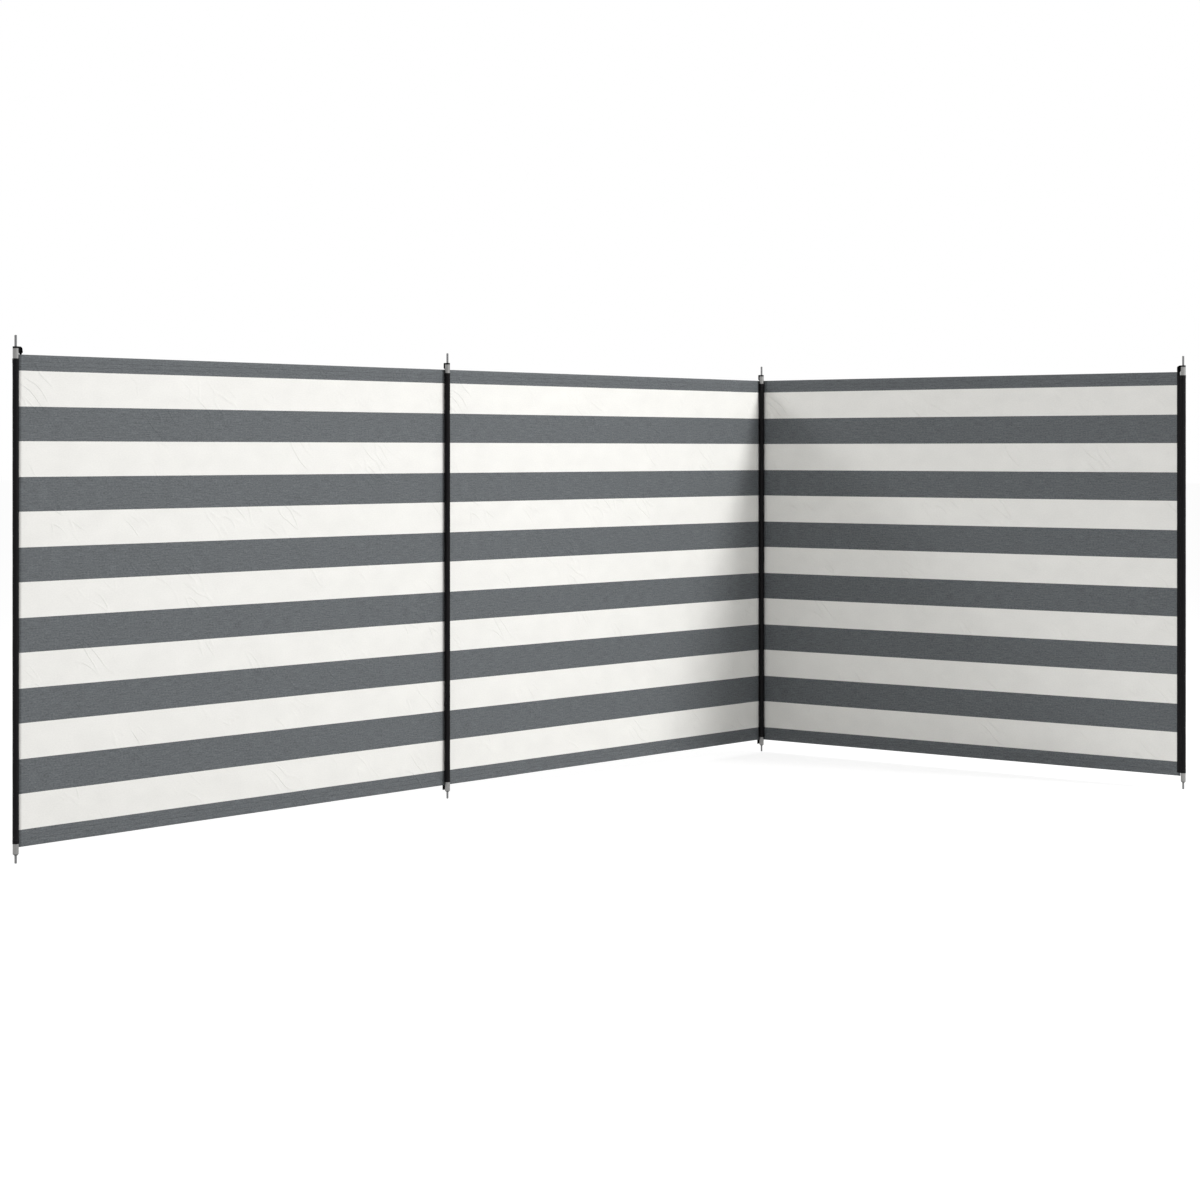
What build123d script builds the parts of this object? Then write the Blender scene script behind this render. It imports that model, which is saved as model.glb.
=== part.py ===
"""Beach windbreak: three striped cloth bays carried on four steel poles.

Millimetres, +Z up. The origin is the flat tip of the lower spike of the corner pole.
Bays one and two run from the corner towards -X, and bay three runs towards -Y.
The back of bays one and two is +Y, and the back of bay three is +X.
"""
import os
from math import acos, atan2, cos, hypot, radians, sin, sqrt

from build123d import *

os.makedirs("parts", exist_ok=True)

# Layout of the screen
bay_width = 1800.0
corner_turn = 90.0

# Cloth
cloth_height = 1400.0
cloth_thickness = 1.2
hem_thickness = 2.0
hem_height = 10.0
end_cloth_setback = 11.0

# Pole: a tube that reaches past the cloth at both ends, with plugs and spikes
tube_below_cloth = 18.0
tube_above_cloth = 19.0
tube_radius = 8.5
tube_wall = 0.8
plug_stem_length = 40.0
plug_cone_height = 4.0
plug_nose_wall = 1.0
plug_cap_height = 2.0
plug_rib = 2.4
spike_radius = 3.5
spike_tip_chamfer = 1.0
lower_spike_reach = 23.0
upper_spike_reach = 32.5

# Sleeves sewn of a thinner cloth
sleeve_bottom_inset = 11.0
sleeve_top_inset = 12.0
sleeve_wall = 0.7
flange_reach = 22.5
flange_thickness = 1.4

# Webbing straps and tabs, as wide as the tube
webbing_thickness = 1.5
strap_bend = 1.6
strap_tail_width = 14.0
strap_hole_radius = 4.4
arch_reach = 16.5
arch_bend = 8.0
strap_foot_width = 8.0
tab_drop = 16.5
tab_overlap = 15.0

# Clearances
loose_fit = 0.1
seat_gap = 0.3

# Levels and radii worked out from the values above
tube_bottom = lower_spike_reach + plug_cone_height
cloth_bottom = tube_bottom + tube_below_cloth
cloth_top = cloth_bottom + cloth_height
tube_top = cloth_top + tube_above_cloth
cap_top = tube_top + plug_cap_height
tube_bore = tube_radius - tube_wall
sleeve_bottom = cloth_bottom + sleeve_bottom_inset
sleeve_top = cloth_top - sleeve_top_inset
sleeve_bore = tube_radius + loose_fit
sleeve_radius = sleeve_bore + sleeve_wall
cloth_face = sleeve_radius + seat_gap
webbing_width = 2 * tube_radius
stem_radius = tube_bore - loose_fit
rib_span = 2 * sqrt(stem_radius**2 - (plug_rib / 2) ** 2)
lap_level = cap_top + webbing_thickness / 2
third_bay_angle = 180.0 + corner_turn


def foot_plane(x, y, along_angle):
    """Plane at a pole's foot: local X runs along a bay, local Y points behind it or before it."""
    along = (cos(radians(along_angle)), sin(radians(along_angle)), 0)
    return Plane(origin=(x, y, 0), x_dir=along, z_dir=(0, 0, 1))


def upright_plane(foot, along, origin=(0, 0, 0)):
    """Plane that stands on a foot plane: local X is along, local Y is up."""
    return Plane(
        origin=foot.from_local_coords(origin),
        x_dir=along,
        z_dir=along.cross(foot.z_dir),
    )


def crossed_ribs():
    """Section of a plug's stem: two ribs that cross on the axis."""
    Rectangle(rib_span, plug_rib)
    Rectangle(plug_rib, rib_span)


def teardrop(radius, nose):
    """Round of the given radius drawn out by its two tangents to the point nose."""
    toward = atan2(nose[1], nose[0])
    half_open = acos(radius / hypot(nose[0], nose[1]))
    touch = [
        (radius * cos(toward + side * half_open), radius * sin(toward + side * half_open))
        for side in (1, -1)
    ]
    Circle(radius)
    Polygon(touch[0], (0, 0), touch[1], nose, align=None)


def keep(part, name):
    """Label a finished piece and write it to its own file."""
    part.label = name
    export_step(part, "parts/" + name + ".step")


# Poles one to three stand in line, the third at the corner, the fourth ends the turned bay.
# An end pole's local X points at its own cloth, a middle pole's along the second bay.
fourth_x = bay_width * cos(radians(third_bay_angle))
fourth_y = bay_width * sin(radians(third_bay_angle))
feet = {
    1: foot_plane(-2 * bay_width, 0, 0),
    2: foot_plane(-bay_width, 0, 0),
    3: foot_plane(0, 0, 0),
    4: foot_plane(fourth_x, fourth_y, third_bay_angle - 180.0),
}

for number, foot in feet.items():
    # Steel tube, open at both ends
    with BuildPart() as tube:
        with BuildSketch(foot.offset(tube_bottom)):
            Circle(tube_radius)
            Circle(tube_bore, mode=Mode.SUBTRACT)
        extrude(amount=tube_top - tube_bottom)
    keep(tube.part, f"pole_{number}_tube")

    # Lower plug: a cone that widens from the spike to the tube, and a ribbed stem in the bore
    with BuildPart() as lower_plug:
        with BuildSketch(foot.offset(lower_spike_reach)):
            Circle(spike_radius + plug_nose_wall)
        with BuildSketch(foot.offset(tube_bottom)):
            Circle(tube_radius)
        loft()
        with BuildSketch(foot.offset(tube_bottom)):
            crossed_ribs()
        extrude(amount=plug_stem_length)
    keep(lower_plug.part, f"pole_{number}_lower_plug")

    # Upper plug: a cap that closes the tube, and a ribbed stem in the bore
    with BuildPart() as upper_plug:
        with BuildSketch(foot.offset(tube_top)):
            Circle(tube_radius)
        extrude(amount=plug_cap_height)
        with BuildSketch(foot.offset(tube_top)):
            crossed_ribs()
        extrude(amount=-plug_stem_length)
    keep(upper_plug.part, f"pole_{number}_upper_plug")

    # Lower spike, set in the plug's nose, with a chamfered tip that enters the ground
    with BuildPart() as lower_spike:
        with BuildSketch(foot):
            Circle(spike_radius)
        extrude(amount=lower_spike_reach)
        chamfer(lower_spike.edges().group_by(Axis.Z)[0], length=spike_tip_chamfer)
    keep(lower_spike.part, f"pole_{number}_lower_spike")

    # Upper spike: it stands on the cap, passes through the strap and ends in a chamfered tip
    with BuildPart() as upper_spike:
        with BuildSketch(foot.offset(cap_top)):
            Circle(spike_radius)
        extrude(amount=webbing_thickness + upper_spike_reach)
        chamfer(upper_spike.edges().group_by(Axis.Z)[-1], length=spike_tip_chamfer)
    keep(upper_spike.part, f"pole_{number}_upper_spike")

for number in (2, 3):
    foot = feet[number]

    # Round sleeve on the pole, in front of the cloth
    with BuildPart() as sleeve:
        with BuildSketch(foot.offset(sleeve_bottom)):
            Circle(sleeve_radius)
            Circle(sleeve_bore, mode=Mode.SUBTRACT)
        extrude(amount=sleeve_top - sleeve_bottom)
    keep(sleeve.part, f"pole_{number}_sleeve")

    # Strap: a tail curved round the tube's back, then flat webbing that laps over the cap
    strap_back = sleeve_bore + webbing_thickness / 2
    strap_reach = strap_back + webbing_thickness
    with BuildPart() as strap:
        with BuildSketch(foot.offset(sleeve_top)):
            Circle(sleeve_radius)
            Circle(sleeve_bore, mode=Mode.SUBTRACT)
            with Locations((0, sleeve_radius)):
                Rectangle(strap_tail_width, sleeve_radius, mode=Mode.INTERSECT)
        extrude(amount=cloth_top + 2 * seat_gap - sleeve_top)
        with BuildSketch(upright_plane(foot, foot.y_dir)):
            with BuildLine():
                FilletPolyline(
                    (-tube_radius, lap_level),
                    (strap_back, lap_level),
                    (strap_back, cloth_top + seat_gap),
                    radius=strap_bend,
                )
            trace(line_width=webbing_thickness)
        extrude(amount=webbing_width / 2, both=True)
        # The lap's end is cut round, in line with the cap
        with BuildSketch(foot.offset(sleeve_top)):
            Circle(webbing_width / 2)
            with Locations((0, strap_reach / 2)):
                Rectangle(webbing_width, strap_reach)
        extrude(amount=tube_top, mode=Mode.INTERSECT)
        with BuildSketch(foot.offset(cap_top - webbing_thickness)):
            Circle(strap_hole_radius)
        extrude(amount=3 * webbing_thickness, mode=Mode.SUBTRACT)
    keep(strap.part, f"pole_{number}_strap")

    # Tab: webbing folded double, sewn behind the lower hem, its fold level with the tube's end
    near_layer = cloth_face + hem_thickness + seat_gap + webbing_thickness / 2
    fold_radius = (webbing_thickness + seat_gap) / 2
    far_layer = near_layer + 2 * fold_radius
    fold_level = cloth_bottom - tab_drop + webbing_thickness / 2 + fold_radius
    tab_top = cloth_bottom + tab_overlap
    with BuildPart() as tab:
        with BuildSketch(upright_plane(foot, foot.y_dir)):
            with BuildLine():
                Line((near_layer, tab_top), (near_layer, fold_level))
                ThreePointArc(
                    (near_layer, fold_level),
                    (near_layer + fold_radius, fold_level - fold_radius),
                    (far_layer, fold_level),
                )
                Line((far_layer, fold_level), (far_layer, tab_top))
            trace(line_width=webbing_thickness)
        extrude(amount=webbing_width / 2, both=True)
    keep(tab.part, f"pole_{number}_tab")

for number in (1, 4):
    foot = feet[number]

    # Teardrop sleeve whose two layers meet in a flange on one face of the cloth
    flange_face = cloth_thickness / 2 + seat_gap
    outer_nose = (end_cloth_setback, flange_face + flange_thickness / 2)
    inner_share = sleeve_bore / sleeve_radius
    inner_nose = (outer_nose[0] * inner_share, outer_nose[1] * inner_share)
    flange_width = flange_reach - inner_nose[0]
    with BuildPart() as sleeve:
        with BuildSketch(foot.offset(sleeve_bottom)):
            teardrop(sleeve_radius, outer_nose)
            with Locations((inner_nose[0] + flange_width / 2, outer_nose[1])):
                Rectangle(flange_width, flange_thickness)
        extrude(amount=sleeve_top - sleeve_bottom)
        with BuildSketch(foot.offset(sleeve_bottom)):
            teardrop(sleeve_bore, inner_nose)
        extrude(amount=sleeve_top - sleeve_bottom, mode=Mode.SUBTRACT)
    keep(sleeve.part, f"pole_{number}_sleeve")

    # Strap: narrow where it stands on the cloth's corner, it arches outwards and laps over the cap
    arch_line = arch_reach - webbing_thickness / 2
    arch_start = lap_level - arch_bend
    with BuildPart() as strap:
        with BuildSketch(upright_plane(foot, foot.x_dir)):
            with BuildLine():
                FilletPolyline(
                    (arch_line, cloth_top),
                    (arch_line, lap_level),
                    (-tube_radius, lap_level),
                    radius=arch_bend,
                )
            trace(line_width=webbing_thickness)
        extrude(amount=webbing_width / 2, both=True)
        with BuildSketch(upright_plane(foot, foot.y_dir)):
            Polygon(
                (-strap_foot_width / 2, cloth_top),
                (strap_foot_width / 2, cloth_top),
                (webbing_width / 2, arch_start),
                (webbing_width / 2, cap_top + 2 * webbing_thickness),
                (-webbing_width / 2, cap_top + 2 * webbing_thickness),
                (-webbing_width / 2, arch_start),
                align=None,
            )
        extrude(amount=2 * arch_reach, both=True, mode=Mode.INTERSECT)
        with BuildSketch(foot.offset(cloth_top)):
            Circle(webbing_width / 2)
            with Locations((arch_reach / 2, 0)):
                Rectangle(arch_reach, webbing_width)
        extrude(amount=tube_top, mode=Mode.INTERSECT)
        with BuildSketch(foot.offset(cap_top - webbing_thickness)):
            Circle(strap_hole_radius)
        extrude(amount=3 * webbing_thickness, mode=Mode.SUBTRACT)
    keep(strap.part, f"pole_{number}_strap")

# Each cloth is drawn from its left-hand pole, as seen from the sheltered side.
# It lies behind a middle pole's sleeve, and in line with the axis of an end pole.
behind_left = (seat_gap, cloth_face)
behind_right = (bay_width - seat_gap, cloth_face)
at_left_end = (end_cloth_setback, -cloth_thickness / 2)
at_right_end = (bay_width - end_cloth_setback, -cloth_thickness / 2)
bays = {
    1: (feet[1], at_left_end, behind_right),
    2: (feet[2], behind_left, behind_right),
    3: (foot_plane(0, 0, third_bay_angle), behind_left, at_right_end),
}

for number, (plan, left, right) in bays.items():
    # One sheet with a thicker folded hem along its top and its bottom
    bands = (
        (cloth_bottom, hem_height, hem_thickness),
        (cloth_bottom, cloth_height, cloth_thickness),
        (cloth_top - hem_height, hem_height, hem_thickness),
    )
    with BuildPart() as cloth:
        for level, height, thickness in bands:
            left_back = (left[0], left[1] + thickness)
            right_back = (right[0], right[1] + thickness)
            with BuildSketch(plan.offset(level)):
                Polygon(left, right, right_back, left_back, align=None)
            extrude(amount=height)
    keep(cloth.part, f"bay_{number}_cloth")
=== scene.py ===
"""Beach windbreak: striped cloth, sleeves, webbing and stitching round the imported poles.

Metres, +Z up. Bays one and two run along X, and bay three turns towards the viewer at the corner.
Every cloth carries the attribute weave_place: metres along it, metres up it, metres into it.
"""

import bpy
import numpy as np
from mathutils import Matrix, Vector


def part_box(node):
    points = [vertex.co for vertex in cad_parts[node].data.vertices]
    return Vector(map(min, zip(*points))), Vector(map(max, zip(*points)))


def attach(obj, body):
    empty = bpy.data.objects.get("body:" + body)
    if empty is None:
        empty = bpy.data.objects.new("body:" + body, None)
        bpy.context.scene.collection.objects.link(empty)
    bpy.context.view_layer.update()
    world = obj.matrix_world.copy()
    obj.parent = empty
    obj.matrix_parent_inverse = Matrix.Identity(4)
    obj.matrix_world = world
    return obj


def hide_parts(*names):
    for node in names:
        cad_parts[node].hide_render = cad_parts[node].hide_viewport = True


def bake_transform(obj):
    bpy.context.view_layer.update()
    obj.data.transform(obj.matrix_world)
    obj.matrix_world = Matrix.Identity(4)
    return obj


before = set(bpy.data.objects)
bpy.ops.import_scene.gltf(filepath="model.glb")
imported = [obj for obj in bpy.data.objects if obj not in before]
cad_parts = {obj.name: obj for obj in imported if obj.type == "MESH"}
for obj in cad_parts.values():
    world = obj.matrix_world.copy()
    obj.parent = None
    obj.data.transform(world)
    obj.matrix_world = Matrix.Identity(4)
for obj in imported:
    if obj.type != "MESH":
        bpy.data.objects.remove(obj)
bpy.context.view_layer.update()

bl_info = {
    "name": "Beach windbreak",
    "version": (1, 0, 0),
    "blender": (4, 5, 0),
    "location": "View3D > Sidebar > Windbreak",
    "description": "Builds the cloth, sleeves, webbing, stitching and stage of a beach windbreak",
    "category": "Add Mesh",
}

BAYS = (1, 2, 3)
MIDDLE_POLES = (2, 3)
END_POLES = (1, 4)
BAY_OF_POLE = {1: 1, 2: 2, 3: 2, 4: 3}


# Places read from the frame

def vectors(*parts):
    """Rows of vectors from arrays or numbers that spread to one shape."""
    return np.stack(np.broadcast_arrays(*parts), axis=-1).reshape(-1, len(parts))


def centre_of(node):
    """Middle of a node's box as an array."""
    low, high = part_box(node)
    return np.array((low + high) / 2)


def pole_axis(number):
    """Foot of a pole's axis on the ground."""
    middle = centre_of(f"pole_{number}_tube")
    return np.array([middle[0], middle[1], 0.0])


class Plan:
    """Ground axes of a pole or a bay: an origin, a direction along the cloth and one behind it."""

    def __init__(self, origin, along):
        self.origin = origin
        self.along = along / np.linalg.norm(along)
        self.behind = np.array([-self.along[1], self.along[0], 0.0])
        self.up = np.array([0.0, 0.0, 1.0])

    def point(self, along, behind, height):
        """Rows of world points from distances along, behind and up."""
        along, behind, height = vectors(along, behind, height).T[..., None]
        return self.origin + along * self.along + behind * self.behind + height * self.up

    def reach(self, node):
        """Lowest and highest distance along and behind of a node's box."""
        ends = np.array([np.array(corner) - self.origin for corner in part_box(node)])
        return np.sort(ends @ self.along), np.sort(ends @ self.behind)


def bay_plan(number):
    """Plan of a bay, from its left pole towards its right one."""
    return Plan(pole_axis(number), pole_axis(number + 1) - pole_axis(number))


def pole_plan(number):
    """Plan of a pole: an end pole looks along its own cloth, a middle pole along bay two."""
    if number in MIDDLE_POLES:
        return Plan(pole_axis(number), pole_axis(3) - pole_axis(2))
    towards = centre_of(f"bay_{BAY_OF_POLE[number]}_cloth") - pole_axis(number)
    axis = np.abs(towards[:2]).argmax()
    along = np.zeros(3)
    along[axis] = np.sign(towards[axis])
    return Plan(pole_axis(number), along)


cloth_low, cloth_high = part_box("bay_2_cloth")
tube_low, tube_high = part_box("pole_2_tube")
sleeve_low, sleeve_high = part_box("pole_2_sleeve")
strap_low, strap_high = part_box("pole_2_strap")
tab_low, tab_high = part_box("pole_2_tab")
CLOTH_BOTTOM = cloth_low.z
CLOTH_TOP = cloth_high.z
CLOTH_TALL = CLOTH_TOP - CLOTH_BOTTOM
CLOTH_FACE = cloth_low.y
HEM_THICKNESS = cloth_high.y - cloth_low.y
TUBE_RADIUS = (tube_high.x - tube_low.x) / 2
SLEEVE_RADIUS = (sleeve_high.x - sleeve_low.x) / 2
SLEEVE_BOTTOM = sleeve_low.z
SLEEVE_TOP = sleeve_high.z
STRAP_TOP = strap_high.z
HALF_WEBBING = (strap_high.x - strap_low.x) / 2
TAB_BOTTOM = tab_low.z
TAB_TOP = tab_high.z


# Columns, rows and counts of points, small sizes in metres, and shares

CLOTH_GRID = (160, 170)
CLOTH_CREST = 0.0003
HEM_STEP = 0.0016
SEAM_SPREAD = 0.0011
SIDE_FADE = 0.07
WAVE_LENGTHS = (0.61, 0.37, 0.83)
FOLD_START, FOLD_RISE, FOLD_FADE = 0.03, 0.12, 0.22
TURN_GRID = (41, 58)
TURN_OVERLAP = 0.0004
SLEEVE_GRID = (48, 190)
SLEEVE_CREST = 0.0002
SLEEVE_EASE = 0.0001
SLEEVE_LEAST = 0.00035
SLEEVE_HEM_STEP = 0.0012
SLEEVE_HEM_LAYER = 0.0003
SWELL_LIMIT = 0.0004
BUNCH_REACH = 0.03
TUBE_GAP = 0.00012
CLOTH_GAP = 0.00005
ROUND_POINTS, STRAIGHT_POINTS = 32, 8
FLANGE_MIDDLE = 0.0016
FLANGE_HALF = 0.00062
FLANGE_FLUTTER = 0.00012
BAND_STEP = 0.00042
BAND_SHARES = np.sin(np.linspace(-0.5, 0.5, 24) * np.pi * 0.985)
BAND_POWER, BAND_EDGE, RIB_SHARE = 14, 0.16, 0.14
BAND_EASE = 0.00001
LIP_GAP = 0.00001
STITCH_SHARE = 0.86
STITCH_PROUD = 0.25
TAB_STITCH_PITCH = 0.0026
SEAM_END = 0.002
EDGE_SEAM = 0.0022
THREAD_OFF_SLEEVE, THREAD_OFF_FLANGE, THREAD_IN_TAB = 0.00008, 0.00004, 0.00002

# Each end strap: how far out it arches, how far above the cloth its pinch ends, hand, lean in degrees
END_STRAPS = {1: (0.0018, 0.0005, -1.0, 0.0), 4: (0.0, -0.003, 1.0, 27.0)}

WHITE = (1, 1, 1, 1)
FLOOR_GLOW = 0.79
SHADOW_SHARE = 0.38
AIM_HEIGHT = 0.9
KEY_OFFSET, KEY_SIZE = (2.1, -6.6, 4.1), 1.25
SIDE_OFFSET, SIDE_SIZE = (-4.1, 4.2, 4.05), 1.7


# Sizes and colours that a user would change

def amount(label, description, default, **kind):
    """A number property, with a unit or subtype where one fits."""
    return bpy.props.FloatProperty(name=label, description=description, default=default, **kind)


def metres(label, description, default):
    """A length property."""
    return amount(label, description, default, unit="LENGTH", precision=5)


def colour(label, description, default):
    """A colour property, linear red, green and blue."""
    return bpy.props.FloatVectorProperty(
        name=label, description=description, default=default, subtype="COLOR", size=3, min=0, max=1
    )


class WindbreakCloth(bpy.types.PropertyGroup):
    """Sizes and colours of the striped cloth."""

    lowest_stripe: metres("Lowest stripe", "Height of the grey stripe at the bottom", 0.0487)
    white_stripe: metres("White stripe", "Height of each white stripe", 0.1018)
    grey_stripe: metres("Grey stripe", "Height of each full grey stripe", 0.0988)
    thickness: metres("Cloth thickness", "Thickness of the striped cloth", 0.0007)
    hem_fold: metres("Hem fold", "Height of the folded hem at the top and the bottom", 0.036)
    hem_seam: metres("Hem seam", "Distance from the cloth's edge to the hem's inner seam", 0.0325)
    edge_seam: metres("Edge seam", "Distance from the cloth's edge to the hem's outer seam", 0.019)
    seam_groove: metres("Seam groove", "Depth that a seam pulls into the cloth", 0.0004)
    hem_layer: metres("Hem layer", "Thickness that the folded hem adds", 0.0007)
    yarn_pitch: metres("Yarn pitch", "Distance from one yarn of the weave to the next", 0.0011)
    long_wave: metres("Long wave", "Depth of the slow waves in the taut cloth", 0.0011)
    corner_fold: metres("Corner fold", "Depth of the pull folds at the corners", 0.0011)
    crease: metres("Crease", "Height of the pressed creases", 0.00125)
    white_yarn: colour("White yarn", "Colour of the white stripes", (0.90, 0.89, 0.855))
    grey_yarn: colour("Grey yarn", "Colour of the grey stripes", (0.109, 0.1195, 0.127))


class WindbreakTrim(bpy.types.PropertyGroup):
    """Sizes and colours of the sleeves, the webbing and the thread."""

    sleeve_hem: metres("Sleeve hem", "Height of the turned hem at each end of a sleeve", 0.012)
    sleeve_wrinkle: metres("Sleeve wrinkle", "Depth of the wrinkles in a sleeve", 0.00028)
    webbing_thickness: metres("Webbing thickness", "Thickness of the straps and tabs", 0.0015)
    webbing_rib: metres("Webbing rib", "Distance between the ribs of the webbing", 0.0017)
    stitch_pitch: metres("Stitch pitch", "Distance from one stitch to the next", 0.0042)
    stitch_radius: metres("Stitch radius", "Half the thickness of the thread", 0.00032)
    seam_offset: metres("Seam offset", "Distance from a middle pole to the seam beside it", 0.0145)
    end_seam: metres("End seam", "Distance from an end pole to the seam beside it", 0.018)
    strap_foot: metres("Strap foot", "Width of an end strap where it is sewn on", 0.007)
    strap_foot_place: metres("Strap foot place", "Distance from an end pole to its strap's foot", 0.0183)
    sleeve_colour: colour("Sleeve colour", "Colour of the sleeve cloth", (0.0045, 0.0040, 0.0048))
    webbing_colour: colour("Webbing colour", "Colour of the webbing", (0.0025, 0.0025, 0.0029))
    black_thread: colour("Black thread", "Thread on the black pieces", (0.010, 0.010, 0.011))


class WindbreakPoles(bpy.types.PropertyGroup):
    """Colours of the poles' hard parts, and the sizes of the upper plugs' lips."""

    tube_steel: colour("Tube steel", "Colour of the tubes", (0.290, 0.287, 0.282))
    spike_steel: colour("Spike steel", "Colour of the spikes", (0.195, 0.195, 0.197))
    plug_plastic: colour("Plug plastic", "Colour of the lower plugs", (0.12, 0.12, 0.12))
    cap_plastic: colour("Cap plastic", "Colour of the upper plugs", (0.005, 0.005, 0.006))
    cap_lip: metres("Cap lip", "How far an upper plug's thin lip reaches down its tube", 0.002)
    cap_lip_wall: metres("Cap lip wall", "Thickness of an upper plug's lip", 0.0001)


class WindbreakStage(bpy.types.PropertyGroup):
    """Camera, floor and lights."""

    camera_place: bpy.props.FloatVectorProperty(
        name="Camera place",
        description="Where the camera stands",
        default=(-8.274, -5.996, 1.169),
        subtype="TRANSLATION",
        unit="LENGTH",
        size=3,
    )
    camera_heading: amount(
        "Camera heading", "Direction of the level view, from the X axis", 0.6888, subtype="ANGLE"
    )
    camera_lens: amount("Camera lens", "Focal length", 78.44, unit="CAMERA")
    camera_rise: amount("Camera rise", "Vertical shift of the level view", -0.1237)
    floor_size: metres("Floor size", "Side of the floor", 160.0)
    floor_colour: colour("Floor colour", "Colour of the floor", (0.96, 0.96, 0.96))
    key_power: amount("Key power", "Power of the light from the right", 358.0, unit="POWER")
    side_power: amount("Side power", "Power of the light from the left", 112.0, unit="POWER")
    sky_strength: amount("Sky strength", "Strength of the even light all round", 0.505)


# Meshes from arrays

def outward(points, faces):
    """The same faces, turned round if their shell holds a negative volume."""
    volume = 0.0
    for group in faces:
        for second in range(1, group.shape[1] - 1):
            a, b, c = (points[group[:, k]] for k in (0, second, second + 1))
            volume += float((a * np.cross(b, c)).sum())
    return faces if volume > 0 else [group[:, ::-1] for group in faces]


def new_object(name, points, faces, weave_place=None, closed=True):
    """Make an object of faces given as index arrays: smooth and facing outwards if it is closed."""
    if closed:
        faces = outward(points, faces)
    mesh = bpy.data.meshes.new(name)
    corners = np.concatenate([group.ravel() for group in faces])
    sizes = np.concatenate([np.full(len(group), group.shape[1]) for group in faces])
    mesh.vertices.add(len(points))
    mesh.vertices.foreach_set("co", points.astype(np.float32).ravel())
    mesh.loops.add(len(corners))
    mesh.loops.foreach_set("vertex_index", corners.astype(np.int32))
    mesh.polygons.add(len(sizes))
    mesh.polygons.foreach_set("loop_start", np.concatenate([[0], np.cumsum(sizes)[:-1]]))
    mesh.polygons.foreach_set("use_smooth", np.full(len(sizes), closed))
    mesh.update(calc_edges=True)
    if weave_place is not None:
        place = mesh.attributes.new("weave_place", "FLOAT_VECTOR", "POINT")
        place.data.foreach_set("vector", weave_place.astype(np.float32).ravel())
    piece = bpy.data.objects.new(name, mesh)
    bpy.context.scene.collection.objects.link(piece)
    return piece


def dress(piece, material, bay, node=None):
    """Give a piece its material, the body it rides and the node it stands for."""
    piece.data.materials.append(material)
    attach(piece, f"bay_{bay}")
    if node:
        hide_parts(node)


def loop_grid(rows, columns, closed_columns=False):
    """Quads of a grid whose rows close into a ring, and whose columns may too."""
    row = np.arange(rows)[:, None] * columns
    column = np.arange(columns if closed_columns else columns - 1)[None, :]
    above = (row + columns) % (rows * columns)
    beside = (column + 1) % columns
    return vectors(row + column, row + beside, above + beside, above + column)


def folded_caps(half, columns):
    """Ends of a grid whose rows are a lower crest, half rows up, an upper crest and half rows down."""
    front = np.arange(1, half)
    back = 2 * half + 2 - front
    ladder = np.stack([front, front + 1, back - 1, back], axis=1)
    crests = np.array([[0, 1, 2 * half + 1], [half + 1, half + 2, half]])
    near = [ladder * columns, crests * columns]
    return near + [group[:, ::-1] + columns - 1 for group in near]


def folded(front, back):
    """Rows of a shell: a crest halfway between two layers, the front up, a crest and the back down."""
    crest = (front + back) / 2
    return np.vstack([crest[:1], front, crest[-1:], back[::-1]])


def crested(rows, crest):
    """Heights of a shell's rows, whose crests stand past the layers."""
    return np.concatenate([[rows[0] - crest], rows, [rows[-1] + crest], rows[::-1]])[:, None]


def smooth_step(value):
    """Cubic ease from 0 to 1 as value goes from 0 to 1."""
    share = np.clip(value, 0, 1)
    return share * share * (3 - 2 * share)


def over_hem(from_end, fold, step):
    """One over a hem, easing to nought across the step at its inner edge."""
    return 1 - smooth_step((from_end - fold + step / 2) / step)


def hemmed_rows(low, high, count, fold, step, more=()):
    """Even heights, with a few more at the step of the hem at each end."""
    near = fold + step * np.array([-0.5, 0.0, 0.5])
    return np.unique(np.concatenate([np.linspace(low, high, count), low + near, high - near, more]))


def run_along(line):
    """Distance along a line of points, from its first one to each of them."""
    return np.concatenate([[0], np.cumsum(np.linalg.norm(np.diff(line, axis=0), axis=1))])


# Materials

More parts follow.
